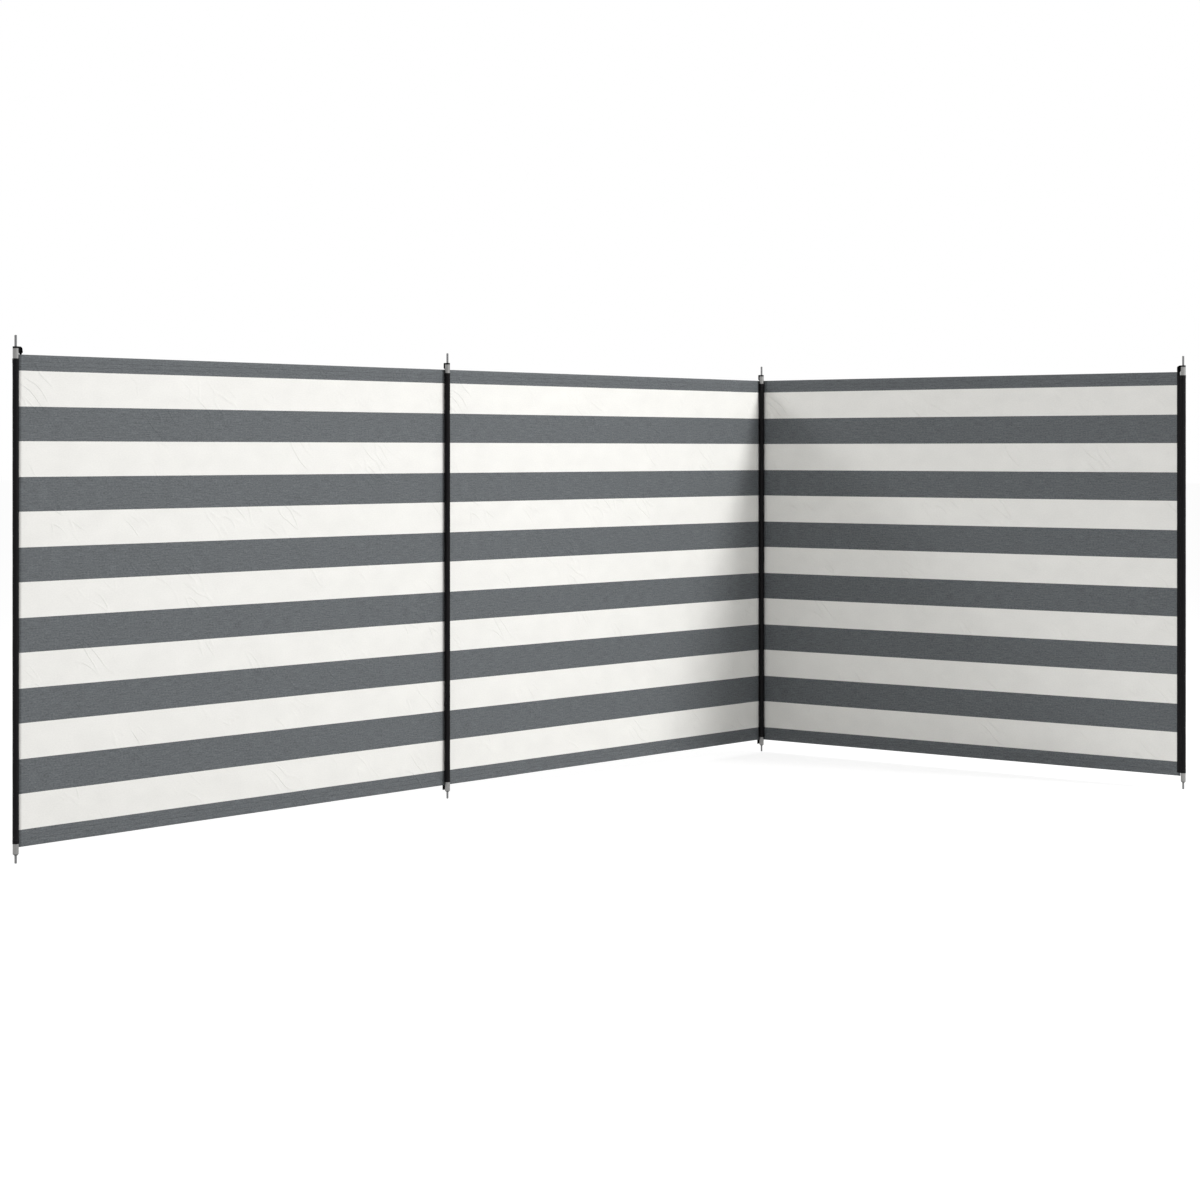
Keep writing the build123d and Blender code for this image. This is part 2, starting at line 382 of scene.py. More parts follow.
class Desk:
    """Adds nodes to one material or world and links their sockets."""

    def __init__(self, owner):
        owner.use_nodes = True
        self.owner = owner
        self.tree = owner.node_tree
        self.tree.nodes.clear()

    def add(self, kind, inputs=(), output=0, **settings):
        """A node with its settings and inputs set or linked; gives one of its outputs."""
        node = self.tree.nodes.new("ShaderNode" + kind)
        for key, value in settings.items():
            setattr(node, key, value)
        for key, value in dict(inputs).items():
            if isinstance(value, bpy.types.NodeSocket):
                self.tree.links.new(value, node.inputs[key])
            else:
                node.inputs[key].default_value = value
        return node.outputs[output] if node.outputs else node

    def maths(self, operation, *values):
        """A Math node."""
        return self.add("Math", dict(enumerate(values)), operation=operation)

    def plus(self, first, second):
        """Sum of two values."""
        return self.maths("ADD", first, second)

    def times(self, first, second):
        """Product of two values."""
        return self.maths("MULTIPLY", first, second)

    def off(self, value, middle):
        """How far a value is from a middle, above or below it."""
        return self.maths("ABSOLUTE", self.maths("SUBTRACT", value, middle))

    def wave(self, place, pitch):
        """Sine of a place, one turn a pitch."""
        return self.maths("SINE", self.times(place, 2 * np.pi / pitch))

    def axes(self, place):
        """The three numbers of a vector."""
        return self.add("SeparateXYZ", {0: place}).node.outputs

    def mix(self, share, first, second):
        """Mix of two colours by a share from 0 to 1."""
        return self.add("Mix", {0: share, 6: first, 7: second}, output=2, data_type="RGBA")

    def tones(self, share, plain, low, high):
        """One colour, from low to high times its brightness."""
        return self.mix(share, rgba(plain, low), rgba(plain, high))

    def noise(self, place, cells, detail=2.0, roughness=0.5):
        """Noise with a number of cells a metre along each axis."""
        stretched = self.add("VectorMath", {0: place, 1: cells}, operation="MULTIPLY")
        inputs = {"Vector": stretched, "Scale": 1.0, "Detail": detail, "Roughness": roughness}
        return self.add("TexNoise", inputs)

    def spread(self, value, low, high, to_low=0.0, to_high=1.0, **settings):
        """Map a range of value to another range, clamped."""
        return self.add("MapRange", {0: value, 1: low, 2: high, 3: to_low, 4: to_high}, **settings)

    def even(self, noise, to_low, to_high):
        """Map the usual range of a noise to another range."""
        return self.spread(noise, 0.3, 0.7, to_low, to_high)

    def bump(self, height, distance, strength, below=None):
        """Bump of a height, on top of another normal if one is given."""
        inputs = {"Height": height, "Distance": distance, "Strength": strength}
        if below is not None:
            inputs["Normal"] = below
        return self.add("Bump", inputs)

    def surface(self, tint, normal, roughness, **uniform):
        """Finish the material: a Principled surface, with uniform values on its other sockets."""
        inputs = {"Base Color": tint, "Normal": normal, "Roughness": roughness}
        inputs.update({key.replace("_", " "): value for key, value in uniform.items()})
        self.add("OutputMaterial", {"Surface": self.add("BsdfPrincipled", inputs)})
        return self.owner


def rgba(values, factor=1.0):
    """A colour with alpha, scaled by a factor."""
    return tuple(min(1.0, channel * factor) for channel in values) + (1.0,)


def new_desk(name, woven):
    """Desk of a new material, and the place in its weave, or in the object if it isn't woven."""
    desk = Desk(bpy.data.materials.new(name))
    if woven:
        return desk, desk.add("Attribute", attribute_name="weave_place", output="Vector")
    return desk, desk.add("TexCoord", output="Object")


def striped_material(name, cloth, darken=1.0):
    """Yarn-dyed stripes with a yarn's ragged edge: a near-white weave, and a grey one flecked along it.

    The creases are the lines where a noise, stretched along a slant, passes its middle. They show
    only in the patches of a slower noise. A darken below 1 dims both yarns as painted shade.
    """
    desk, place = new_desk(name, woven=True)
    along, height, _ = desk.axes(place)
    ragged_edge = 0.0012
    ragged = desk.noise(place, (900.0, 60.0, 0.0), detail=1.0)
    drift = desk.times(desk.maths("SUBTRACT", ragged, 0.5), ragged_edge)
    above = desk.maths("SUBTRACT", desk.plus(height, drift), cloth.lowest_stripe)
    step = desk.maths("FLOORED_MODULO", above, cloth.white_stripe + cloth.grey_stripe)
    in_white = desk.maths("LESS_THAN", step, cloth.white_stripe)

    streaks = desk.noise(place, (24.0, 330.0, 0.0), detail=3.0, roughness=0.65)
    flecks = desk.noise(place, (150.0, 300.0, 0.0), roughness=0.6)
    cloudy = desk.noise(place, (9.0, 14.0, 0.0), detail=3.0)
    heather = desk.plus(desk.even(streaks, -0.5, 0.5), desk.even(flecks, -0.6, 0.6))
    grey = desk.tones(desk.spread(heather, -0.8, 0.8), cloth.grey_yarn, 0.60 * darken, 1.43 * darken)
    white = desk.tones(
        desk.spread(flecks, 0.35, 0.65), cloth.white_yarn, 0.975 * darken, 1.02 * darken
    )
    striped = desk.mix(in_white, grey, white)
    shade = desk.even(cloudy, 0.975, 1.02)
    toned = desk.add("VectorMath", {0: striped, "Scale": shade}, operation="SCALE")

    weave = desk.times(desk.wave(along, cloth.yarn_pitch), desk.wave(height, cloth.yarn_pitch))
    uneven = desk.plus(desk.times(weave, 0.5), desk.times(flecks, 0.8))
    weave_normal = desk.bump(uneven, 0.00012, 0.5)
    slanted = {"Vector": place, "Rotation": (0.0, 0.0, np.radians(-44.0)), "Scale": (0.16, 0.045, 1.0)}
    slant = desk.add("Mapping", slanted, vector_type="TEXTURE")
    ridges = desk.add("TexNoise", {"Vector": slant, "Scale": 1.0, "Detail": 1.0})
    line = desk.spread(desk.off(ridges, 0.52), 0.0, 0.055, 1.0, 0.0, interpolation_type="SMOOTHSTEP")
    patches = desk.spread(desk.noise(place, (5.0, 6.0, 0.0), detail=1.0), 0.53, 0.65)
    normal = desk.bump(desk.times(line, patches), cloth.crease, 1.0, weave_normal)
    return desk.surface(
        toned, normal, 0.66, Specular_IOR_Level=0.45, Sheen_Weight=0.05, Sheen_Roughness=0.5
    )


def sleeve_material(trim):
    """Black sleeve cloth: a fine twill, dusty flecks and slow vertical tone."""
    desk, place = new_desk("sleeve_black_cloth", woven=True)
    along, height, _ = desk.axes(place)
    flecks = desk.noise(place, (420.0, 260.0, 0.0), roughness=0.7)
    slow = desk.noise(place, (30.0, 5.0, 0.0))
    tone = desk.plus(desk.even(flecks, 0.0, 0.6), desk.even(slow, 0.0, 0.4))
    black = desk.tones(tone, trim.sleeve_colour, 0.7, 1.5)
    twill_pitch = 0.0009
    twill = desk.wave(desk.plus(along, height), twill_pitch)
    normal = desk.bump(desk.plus(twill, desk.times(flecks, 1.5)), 0.00008, 0.5)
    return desk.surface(black, normal, 0.6, Specular_IOR_Level=0.11, Sheen_Weight=0.006)


def webbing_material(trim):
    """Black woven webbing: fine chevrons between the modelled ribs."""
    desk, place = new_desk("webbing_black", woven=True)
    across, length, _ = desk.axes(place)
    chevron_width, chevron_pitch = 0.005, 0.0012
    zigzag = desk.off(desk.maths("FLOORED_MODULO", across, chevron_width), chevron_width / 2)
    chevron = desk.wave(desk.plus(zigzag, length), chevron_pitch)
    flecks = desk.noise(place, (900.0, 700.0, 0.0))
    tone = desk.plus(desk.spread(chevron, -1.0, 1.0, 0.0, 0.5), desk.even(flecks, 0.0, 0.5))
    black = desk.tones(tone, trim.webbing_colour, 0.6, 1.7)
    normal = desk.bump(desk.plus(chevron, flecks), 0.00012, 0.7)
    return desk.surface(black, normal, 0.75, Specular_IOR_Level=0.06)


def black_thread_material(trim):
    """Twisted black thread."""
    desk, place = new_desk("thread_black", woven=False)
    twist = desk.noise(place, (2600.0, 2600.0, 2600.0), detail=1.0)
    black = desk.tones(twist, trim.black_thread, 0.6, 1.6)
    return desk.surface(black, desk.bump(twist, 0.0001, 0.5), 0.5)


def tube_material(poles):
    """Drawn steel tube: long scratches, a slow cloud of dulling and a few dark specks."""
    desk, place = new_desk("tube_drawn_steel", woven=False)
    drawn = desk.noise(place, (1500.0, 1500.0, 6.0), roughness=0.7)
    clouds = desk.noise(place, (60.0, 60.0, 22.0), detail=3.0)
    specks = desk.spread(desk.noise(place, (700.0, 700.0, 500.0), detail=1.0), 0.70, 0.78)
    brightness = desk.plus(desk.even(drawn, 0.0, 0.55), desk.even(clouds, 0.0, 0.45))
    steel = desk.tones(brightness, poles.tube_steel, 0.80, 1.16)
    worn = desk.mix(specks, steel, rgba(poles.tube_steel, 0.55))
    return desk.surface(
        worn, desk.bump(drawn, 0.00005, 0.35), desk.even(clouds, 0.40, 0.56), Metallic=0.75
    )


def spike_material(poles):
    """Zinc-plated steel rod: small crystals, dull patches and scratches round it."""
    desk, place = new_desk("spike_zinc_steel", woven=False)
    crystals = desk.add("TexVoronoi", {"Vector": place, "Scale": 900.0}, output="Color")
    rings = desk.noise(place, (60.0, 60.0, 2200.0), detail=1.0)
    tone = desk.plus(desk.times(desk.axes(crystals)[0], 0.5), desk.even(rings, 0.0, 0.5))
    steel = desk.tones(tone, poles.spike_steel, 0.75, 1.25)
    return desk.surface(
        steel, desk.bump(rings, 0.00004, 0.4), desk.even(rings, 0.34, 0.5), Metallic=0.85
    )


def plug_material(name, plastic):
    """Moulded plastic: fine spark texture and faint scuffs."""
    desk, place = new_desk(name, woven=False)
    grain = desk.noise(place, (1900.0, 1900.0, 1900.0))
    scuffs = desk.spread(desk.noise(place, (260.0, 260.0, 90.0), detail=3.0), 0.58, 0.70)
    plain = desk.tones(grain, plastic, 0.88, 1.12)
    scuffed = desk.mix(desk.times(scuffs, 0.5), plain, rgba(plastic, 1.5))
    return desk.surface(scuffed, desk.bump(grain, 0.00006, 0.5), 0.6, Specular_IOR_Level=0.2)


# Striped cloth

def bay_span(number):
    """Plan of a bay, and the distances along it of its cloth's left and right edges."""
    plan = bay_plan(number)
    (left, right), _ = plan.reach(f"bay_{number}_cloth")
    return plan, left, right


def front_line(number):
    """Distances behind the poles' line of a bay's front face, at its left and its right end."""
    _, (low, high) = bay_plan(number).reach(f"bay_{number}_cloth")
    level = (low, high - HEM_THICKNESS)
    return {1: level, 2: (low, low), 3: level[::-1]}[number]


def corner_folds(along, height, width, seed):
    """Pull folds: a cosine of the angle round each corner, swelling and then dying with the distance."""
    draw = np.random.default_rng(seed)
    relief = np.zeros(np.broadcast(along, height).shape)
    for corner_x in (0.0, width):
        for corner_y in (0.0, CLOTH_TALL):
            from_x, from_y = np.abs(along - corner_x), np.abs(height - corner_y)
            far = np.hypot(from_x, from_y)
            angle = np.arctan2(from_y, from_x + 1e-6)
            fold = np.cos(draw.uniform(9, 13) * angle + draw.uniform(0, 6))
            swell = smooth_step((far - FOLD_START) / FOLD_RISE) * np.exp(-far / FOLD_FADE)
            relief += draw.uniform(0.6, 1.0) * fold * swell
    return relief


def hem_seams(cloth):
    """Heights of the two seams along each hem."""
    low = np.array([cloth.edge_seam, cloth.hem_seam])
    return np.concatenate([low, CLOTH_TALL - low])


def seam_grooves(height, cloth):
    """Groove that each hem seam pulls into the cloth, a Gaussian across the seam."""
    off = (height[..., None] - hem_seams(cloth)) / SEAM_SPREAD
    return np.exp(-(off**2) / 2).sum(axis=-1)


def cloth_relief(along, height, width, cloth, seed):
    """Depth of the taut cloth: slow waves, corner folds and seams, faded at its two sides."""
    draw = np.random.default_rng(seed)
    shift = draw.uniform(0, 6, 4)
    level, slanted, upright = WAVE_LENGTHS
    waves = np.sin(2 * np.pi * along / level + shift[0] + 1.4 * np.sin(height * 3.1 + shift[1]))
    waves += 0.6 * np.sin(2 * np.pi * (along + 0.35 * height) / slanted + shift[2])
    waves += 0.5 * np.sin(2 * np.pi * (height - 0.25 * along) / upright + shift[3])
    relief = cloth.long_wave * waves / 1.6
    relief = relief + cloth.corner_fold * corner_folds(along, height, width, seed + 1)
    fade = smooth_step(along / SIDE_FADE) * smooth_step((width - along) / SIDE_FADE)
    return relief * fade + cloth.seam_groove * seam_grooves(height, cloth)


def bay_face(number, along, height, cloth):
    """Depth of a bay's front face: the straight line between its poles, and the relief behind it."""
    _, left, right = bay_span(number)
    left_face, right_face = front_line(number)
    line = left_face + (right_face - left_face) * ((along - left) / (right - left))
    return line + cloth_relief(along - left, height, right - left, cloth, 10 * number)


def cloth_levels(cloth, count):
    """Heights of the cloth's rows, closer together at the step and the seams of each hem."""
    across_seam = np.array([-0.003, -0.0018, -0.0009, 0.0, 0.0009, 0.0018, 0.003])
    seams = (hem_seams(cloth)[:, None] + across_seam).ravel()
    return hemmed_rows(0.0, CLOTH_TALL, count, cloth.hem_fold, HEM_STEP, seams)


def cloth_shell(along, levels, depth, cloth):
    """Closed shell of cloth on a grid of columns (along) and rows (levels) at a front depth.

    The back stands off by the cloth's thickness, and by one layer more over the folded hems. Gives
    along, depth, height and the distance into the cloth, and the faces.
    """
    hem = over_hem(np.minimum(levels, CLOTH_TALL - levels), cloth.hem_fold, HEM_STEP)
    through = (cloth.thickness + cloth.hem_layer * hem)[:, None] + 0 * depth
    into = folded(0 * through, through)
    height = crested(np.clip(levels, CLOTH_CREST, CLOTH_TALL - CLOTH_CREST), CLOTH_CREST) + 0 * into
    across = np.broadcast_to(along, into.shape)
    faces = [loop_grid(*into.shape), *folded_caps(len(levels), len(along))]
    return across, folded(depth, depth) + into, height, into, faces


def make_bay_cloth(number, cloth, material):
    """One bay's sheet: its front face on a grid, closed by cloth_shell."""
    plan, left, right = bay_span(number)
    columns, rows = CLOTH_GRID
    along = np.linspace(left, right, columns)
    levels = cloth_levels(cloth, rows)
    depth = bay_face(number, along[None, :], levels[:, None], cloth)
    across, behind, height, into, faces = cloth_shell(along, levels, depth, cloth)
    points = plan.point(across, behind, height + CLOTH_BOTTOM)
    piece = new_object(f"bay_{number}_striped_cloth", points, faces, vectors(across, height, into))
    dress(piece, material, number, f"bay_{number}_cloth")


def make_cloth_turn(number, cloth, material):
    """Strip that carries the cloth round the back of a middle pole.

    Its plan is an arc round the pole's axis at the cloth's face, from the end of one bay to the
    start of the next, as the joint stands when it is built. A straight joint's arc has almost no width,
    and a turned joint's is wider.
    """
    axis = pole_axis(number)
    before, _, left_end = bay_span(number - 1)
    after, right_start, _ = bay_span(number)
    start = before.point(left_end - TURN_OVERLAP, front_line(number - 1)[1], 0.0)[0]
    end = after.point(right_start + TURN_OVERLAP, front_line(number)[0], 0.0)[0]
    from_x, from_y, _ = np.transpose([start - axis, end - axis])
    angles = np.arctan2(from_y, from_x)
    columns, rows = TURN_GRID
    angle = np.linspace(*angles, columns)
    radius = np.linspace(*np.hypot(from_x, from_y), columns)
    levels = cloth_levels(cloth, rows)
    depth = cloth.seam_groove * seam_grooves(levels, cloth)[:, None] + np.zeros((1, columns))
    share = np.linspace(0, 1, columns)
    across, out, height, into, faces = cloth_shell(share, levels, depth, cloth)
    reach = radius + out
    points = vectors(
        axis[0] + reach * np.cos(angle), axis[1] + reach * np.sin(angle), CLOTH_BOTTOM + height
    )
    run = left_end + CLOTH_FACE * across * (angles[0] - angles[1])
    piece = new_object(f"pole_{number}_cloth_turn", points, faces, vectors(run, height, into))
    piece.data.materials.append(material)
    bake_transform(piece)


# Sleeves

def sleeve_wrinkles(turn, height, seed):
    """Wrinkles of a sleeve: slanted sines that fade in and out along it, and bunching at its ends."""
    draw = np.random.default_rng(seed)
    shift = draw.uniform(0, 6, 5)
    relief = 0.5 * np.sin(2 * turn + 38 * height + shift[0])
    relief += 0.35 * np.sin(turn + 71 * height + 1.5 * np.sin(9 * height + shift[1]))
    relief += 0.30 * np.sin(3 * turn - 120 * height + shift[2]) * np.sin(11 * height + shift[3])
    ends = np.exp(-(height - SLEEVE_BOTTOM) / BUNCH_REACH) + np.exp(-(SLEEVE_TOP - height) / BUNCH_REACH)
    return relief + 0.8 * ends * np.sin(4 * turn + 190 * height + shift[4])


def sleeve_rows(trim):
    """Heights up a sleeve, closer together at the step of each end hem."""
    return hemmed_rows(SLEEVE_BOTTOM, SLEEVE_TOP, SLEEVE_GRID[1], trim.sleeve_hem, SLEEVE_HEM_STEP)


def sleeve_swell(turn, height, seed, trim):
    """How far a sleeve stands off its plain line: wrinkles, and a layer more over its two hems."""
    from_end = np.minimum(height - SLEEVE_BOTTOM, SLEEVE_TOP - height)
    wrinkles = trim.sleeve_wrinkle * 0.5 * (sleeve_wrinkles(turn, height, seed) - 1)
    return wrinkles + SLEEVE_HEM_LAYER * over_hem(from_end, trim.sleeve_hem, SLEEVE_HEM_STEP)


def add_sleeve(number, along, behind, trim, material, run, depth):
    """Make a sleeve of places along and behind its pole's axis, the shell's rows up the pole."""
    height = crested(sleeve_rows(trim), SLEEVE_CREST)
    points = pole_plan(number).point(along, behind, height)
    faces = [loop_grid(*along.shape, closed_columns=True)]
    piece = new_object(f"pole_{number}_sleeve_cloth", points, faces, vectors(run, height, depth))
    dress(piece, material, BAY_OF_POLE[number], f"pole_{number}_sleeve")


def make_middle_sleeve(number, trim, material):
    """Round sleeve: a circle whose radius is the cloth's line plus wrinkles, carried up the pole."""
    turn = np.linspace(0, 2 * np.pi, SLEEVE_GRID[0], endpoint=False)
    outer = SLEEVE_RADIUS - SLEEVE_EASE + sleeve_swell(turn, sleeve_rows(trim)[:, None], number, trim)
    outer = np.clip(outer, TUBE_RADIUS + SLEEVE_LEAST, CLOTH_FACE - CLOTH_GAP)
    radius = folded(outer, np.full_like(outer, TUBE_RADIUS + TUBE_GAP))
    along, behind = radius * np.cos(turn), radius * np.sin(turn)
    add_sleeve(number, along, behind, trim, material, turn * SLEEVE_RADIUS, radius)


def teardrop_line(radius, nose, flange_end, half_flange):
    """Closed plan line of a teardrop sleeve: out along the flange, round the pole and back.

    The round part is the circle from one tangent point to the other. Each side runs straight from
    there to the nose and on to the end of the flange, half a flange's thickness off its middle.
    """
    toward = np.arctan2(nose[1], nose[0])
    half_open = np.arccos(radius / np.hypot(nose[0], nose[1]))
    angle = np.linspace(toward + half_open, toward + 2 * np.pi - half_open, ROUND_POINTS)
    arc = radius * vectors(np.cos(angle), np.sin(angle))
    share = np.linspace(0, 1, STRAIGHT_POINTS + 1)[1:, None]
    sides = []
    for corner, side in ((arc[0], 1), (arc[-1], -1)):
        root = np.array([nose[0], nose[1] + side * half_flange])
        tip = np.array([flange_end, nose[1] + side * half_flange])
        sides.append(np.vstack([corner + share * (root - corner), root + share * (tip - root)]))
    return np.vstack([sides[0][::-1], arc, sides[1]])


def make_end_sleeve(number, trim, material):
    """Teardrop sleeve with its flange: a closed plan line carried up the pole, with wrinkles."""
    plan = pole_plan(number)
    (_, flange_end), _ = plan.reach(f"pole_{number}_sleeve")
    (cloth_edge, _), _ = plan.reach(f"bay_{BAY_OF_POLE[number]}_cloth")
    nose = np.array([cloth_edge, FLANGE_MIDDLE])
    outer = teardrop_line(SLEEVE_RADIUS - SLEEVE_EASE, nose, flange_end, FLANGE_HALF)
    nose_share, slit_reach, half_slit, round_share, round_fade = 0.93, 0.0002, 0.00008, 1.25, 0.002
    inner = teardrop_line(TUBE_RADIUS + TUBE_GAP, nose * nose_share, nose[0] + slit_reach, half_slit)
    far = np.linalg.norm(outer, axis=1)
    on_round = smooth_step((SLEEVE_RADIUS * round_share - far) / round_fade)
    turn = np.arctan2(outer[:, 1], outer[:, 0])
    height = sleeve_rows(trim)[:, None]
    swell = sleeve_swell(turn, height, number + 20, trim)
    swell = np.clip(swell, -SWELL_LIMIT, SWELL_LIMIT) * on_round
    flutter = FLANGE_FLUTTER * np.sin(55 * height + number) * (1 - on_round)
    out_x = outer[:, 0] + swell * (outer[:, 0] / far)
    out_y = outer[:, 1] + swell * (outer[:, 1] / far) + flutter
    along, behind = folded(out_x, inner[:, 0] + 0 * swell), folded(out_y, inner[:, 1] + 0 * swell)
    add_sleeve(number, along, behind, trim, material, run_along(outer), 0.0)


# Webbing

def unit(rows):
    """The same rows of vectors, one unit long."""
    return rows / np.linalg.norm(rows, axis=-1, keepdims=True)


def woven_band(number, part, path, across, normal, half_width, trim, material, sag=0.0, press=1.0):
    """A strap or tab: a closed band of webbing along a path.

    path, across and normal are rows of vectors, half_width and press one number or one a row. The
    section is a rounded flat oval, pressed thinner by press and bent by sag, with ribs that run
    along it and picks that cross it, both cosines.
    """
    rounded = np.clip(1 - np.abs(BAND_SHARES) ** BAND_POWER, BAND_EDGE, 1) ** 0.5
    length = run_along(path)[:, None]
    side = BAND_SHARES * np.reshape(half_width, (-1, 1))
    ribs = 0.5 + 0.5 * np.cos(2 * np.pi * side / trim.webbing_rib)
    picks = 0.5 + 0.5 * np.cos(2 * np.pi * length / trim.webbing_rib + np.pi * (side > 0))
    half_thick = trim.webbing_thickness / 2 * rounded * (1 - RIB_SHARE + RIB_SHARE * ribs * picks)
    half_thick = half_thick * np.reshape(press, (-1, 1))
    middle = path[:, None] + side[..., None] * across[:, None]
    top, under = (middle + (sag + off)[..., None] * normal[:, None] for off in (half_thick, -half_thick))
    points = np.concatenate([top, under[:, ::-1]], axis=1).transpose(1, 0, 2).reshape(-1, 3)
    half, columns = len(BAND_SHARES), len(path)
    ladder = np.arange(half - 1)
    mirror = 2 * half - 1 - ladder
    cap = vectors(ladder, ladder + 1, mirror - 1, mirror) * columns
    faces = [loop_grid(2 * half, columns), cap, cap[:, ::-1] + columns - 1]
    both = np.concatenate([side, side[:, ::-1]], axis=1).T
    piece = new_object(f"pole_{number}_{part}_webbing", points, faces, vectors(both, length.T, 0.0))
    dress(piece, material, BAY_OF_POLE[number], f"pole_{number}_{part}")


def rounded_path(corners, radius):
    """Points along straight runs joined by arcs of one radius, evenly spaced."""
    corners = np.array(corners)
    share = np.linspace(0, 1, 24)[:, None]
    pieces = [corners[:1]]
    for before, corner, after in zip(corners, corners[1:], corners[2:]):
        into, out = unit(before - corner), unit(after - corner)
        half_turn = np.arccos(into @ out) / 2
        middle = corner + unit(into + out) * radius / np.sin(half_turn)
        reach = radius / np.tan(half_turn)
        first, last = corner + into * reach - middle, corner + out * reach - middle
        sweep = np.pi - 2 * half_turn
        arc = (np.sin((1 - share) * sweep) * first + np.sin(share * sweep) * last) / np.sin(sweep)
        pieces.append(middle + arc)
    line = np.vstack([*pieces, corners[-1:]])
    length = run_along(line)
    keep = np.concatenate([[True], np.diff(length) > 1e-9])
    even = np.linspace(0, length[-1], int(round(length[-1] / BAND_STEP)))
    return vectors(*(np.interp(even, length[keep], axis[keep]) for axis in line.T))


def upright_band(number, line):
    """Path, sideways directions and normals of a band whose line lies in a plane across the cloth."""
    plan = pole_plan(number)
    slope = unit(np.gradient(line, axis=0))
    path = plan.point(0.0, line[:, 0], line[:, 1])
    normal = slope[:, 1, None] * plan.behind - slope[:, 0, None] * plan.up
    return path, np.broadcast_to(plan.along, path.shape), normal


def round_end(reach):
    """Half width of a lap over the cap: the webbing's until the pole's axis, then a semicircle's."""
    past_axis = np.clip(-reach / HALF_WEBBING, 0.0, 0.995)
    return HALF_WEBBING * np.sqrt(1 - past_axis**2)


def make_middle_strap(number, trim, material):
    """Strap of a middle pole: a tail curved round the tube, a flat rise and a lap over the cap."""
    half_thick = trim.webbing_thickness / 2
    tail, bend, narrowed, pressed = 0.006, 0.0017, 0.0011, 0.4
    wrap_rise, wrap_fade = 0.0003, 0.0045
    back = TUBE_RADIUS + TUBE_GAP + half_thick
    lap = STRAP_TOP - half_thick
    line = rounded_path([(back, SLEEVE_TOP - tail), (back, lap), (-HALF_WEBBING, lap)], bend)
    wrapped = 1 - smooth_step((line[:, 1] - CLOTH_TOP - wrap_rise) / wrap_fade)
    half = round_end(line[:, 0]) - narrowed * wrapped
    side = BAND_SHARES * half[:, None]
    ring = np.sqrt(np.clip(back**2 - side**2, 1e-8, None)) - back
    sag = (ring - pressed * half_thick) * wrapped[:, None]
    press = 1 - pressed * wrapped
    woven_band(number, "strap", *upright_band(number, line), half, trim, material, sag, press)


def make_end_strap(number, trim, material):
    """Strap of an end pole: sewn on flat beside the flange, twisted outwards, lapped over the cap.

    Its path is a rise and a lap joined by an arc. Where it is pinched, it is as narrow as its foot,
    it lies in the cloth's plane, and its path is shifted to the foot's place. Above that it turns
    until it lies across the cloth.
    """
    plan = pole_plan(number)
    (_, outer), _ = plan.reach(f"pole_{number}_strap")
    push, pinch_rise, hand, lean = END_STRAPS[number]
    foot_drop, bend, rise_width, pinch_fade, lean_fade = 0.0015, 0.008, 0.006, 0.0115, 0.007
    twist = np.radians(84.0)
    arch = outer - trim.webbing_thickness / 2 + push
    lap = STRAP_TOP - trim.webbing_thickness / 2
    line = rounded_path([(arch, SLEEVE_TOP - foot_drop), (arch, lap), (-HALF_WEBBING, lap)], bend)
    out, height = line.T
    rising = out > arch - rise_width
    pinch = (1 - smooth_step((height - CLOTH_TOP - pinch_rise) / pinch_fade)) * rising
    path = plan.point(out + (trim.strap_foot_place - arch) * pinch, FLANGE_MIDDLE * pinch, height)
    leaning = np.radians(lean) * smooth_step((lap - height) / lean_fade) * rising
    turn = (leaning + (twist - leaning) * pinch)[:, None]
    sideways = hand * np.cos(turn) * plan.behind + np.sin(turn) * plan.along
    slope = unit(np.gradient(path, axis=0))
    across = unit(sideways - (sideways * slope).sum(axis=1, keepdims=True) * slope)
    half = round_end(out)
    half = half + (trim.strap_foot / 2 - half) * pinch
    woven_band(number, "strap", path, across, np.cross(across, slope), half, trim, material)


def make_tab(number, trim, material):
    """Tab behind the lower hem: webbing folded double, its fold a half circle at the bottom."""
    half_thick = trim.webbing_thickness / 2
    _, (near, far) = pole_plan(number).reach(f"pole_{number}_tab")
    first, last, low = near + half_thick, far - half_thick, TAB_BOTTOM + half_thick
    corners = [(first, TAB_TOP), (first, low), (last, low), (last, TAB_TOP)]
    line = rounded_path(corners, (last - first) / 2 - BAND_EASE)
    woven_band(number, "tab", *upright_band(number, line), HALF_WEBBING, trim, material)


# Caps

def make_cap_lip(number, poles, material):
    """Lip of an upper plug: a thin ring round the tube's end, a rounded oblong turned about the axis."""
    axis = pole_axis(number)
    _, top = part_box(f"pole_{number}_upper_plug")
    _, tube_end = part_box(f"pole_{number}_tube")
    low, high = tube_end.z - poles.cap_lip, top.z
    corner = np.linspace(0, np.pi / 2, 4)
    inner, wall = TUBE_RADIUS + LIP_GAP, poles.cap_lip_wall
    out = inner + wall * np.concatenate([np.sin(corner), np.cos(corner), [0.0]])[:, None]
    up = np.concatenate([high - wall * (1 - np.cos(corner)), low + wall * (1 - np.sin(corner)), [low]])
    turn = np.linspace(0, 2 * np.pi, 64, endpoint=False)
    points = vectors(axis[0] + out * np.cos(turn), axis[1] + out * np.sin(turn), up[:, None])
    piece = new_object(
        f"pole_{number}_cap_lip", points, [loop_grid(len(up), len(turn), closed_columns=True)]
    )
    dress(piece, material, BAY_OF_POLE[number])


# Stitching

